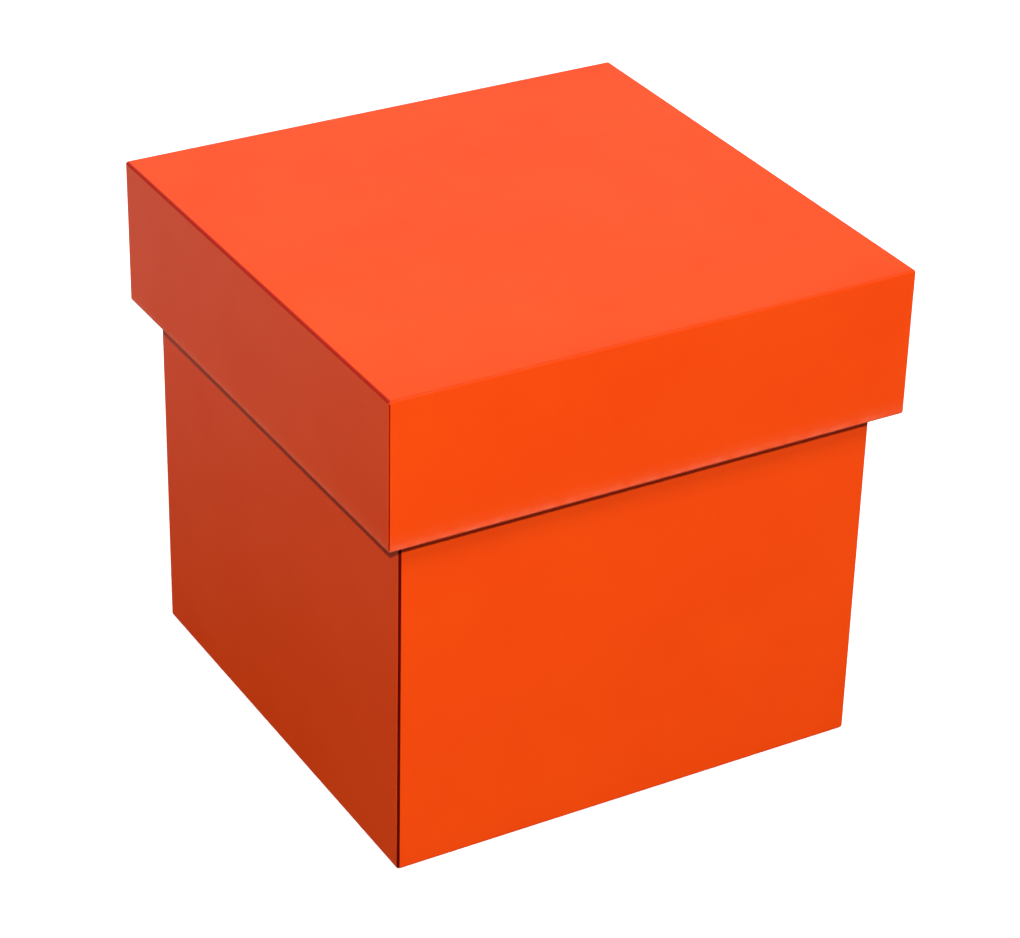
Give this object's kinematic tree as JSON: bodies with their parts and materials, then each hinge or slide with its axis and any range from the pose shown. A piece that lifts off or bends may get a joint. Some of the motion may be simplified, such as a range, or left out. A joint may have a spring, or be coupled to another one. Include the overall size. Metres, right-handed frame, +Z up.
{
  "type": "gift box",
  "caption": "Rigid cube gift box with an overhanging lift-off lid, greyboard trays wrapped in plain orange paper, for holding a small present.",
  "frame": {"origin": "centre of the underside, on the surface that the box stands on", "axes": "+Z up, along the way the lid lifts; the front is at -Y and the right side at +X"},
  "size_m": [0.109, 0.109, 0.1024],
  "materials": {
    "wrap_paper": "satin",
    "greyboard": "matte",
    "corner_tape": "matte",
    "lining_paper": "matte"
  },
  "bodies": {
    "base": {"base_bottom_sheet": "wrap_paper", "base_wrap": "wrap_paper", "base_floor_board": "greyboard", "base_front_board": "greyboard", "base_right_board": "greyboard", "base_back_board": "greyboard", "base_left_board": "greyboard", "base_corner_tape_front_left": "corner_tape", "base_corner_tape_front_right": "corner_tape", "base_corner_tape_back_right": "corner_tape", "base_corner_tape_back_left": "corner_tape", "base_wall_lining": "lining_paper", "base_floor_lining": "lining_paper"},
    "lid": {"lid_wrap": "wrap_paper", "lid_top_board": "greyboard", "lid_front_board": "greyboard", "lid_right_board": "greyboard", "lid_back_board": "greyboard", "lid_left_board": "greyboard", "lid_corner_tape_front_left": "corner_tape", "lid_corner_tape_front_right": "corner_tape", "lid_corner_tape_back_right": "corner_tape", "lid_corner_tape_back_left": "corner_tape", "lid_wall_lining": "lining_paper", "lid_top_lining": "lining_paper"}
  },
  "joints": [
    {"name": "lid_lift", "type": "slide", "parent": "base", "child": "lid", "axis": [0, 0, 1], "range_m": [0, 0.13]}
  ]
}
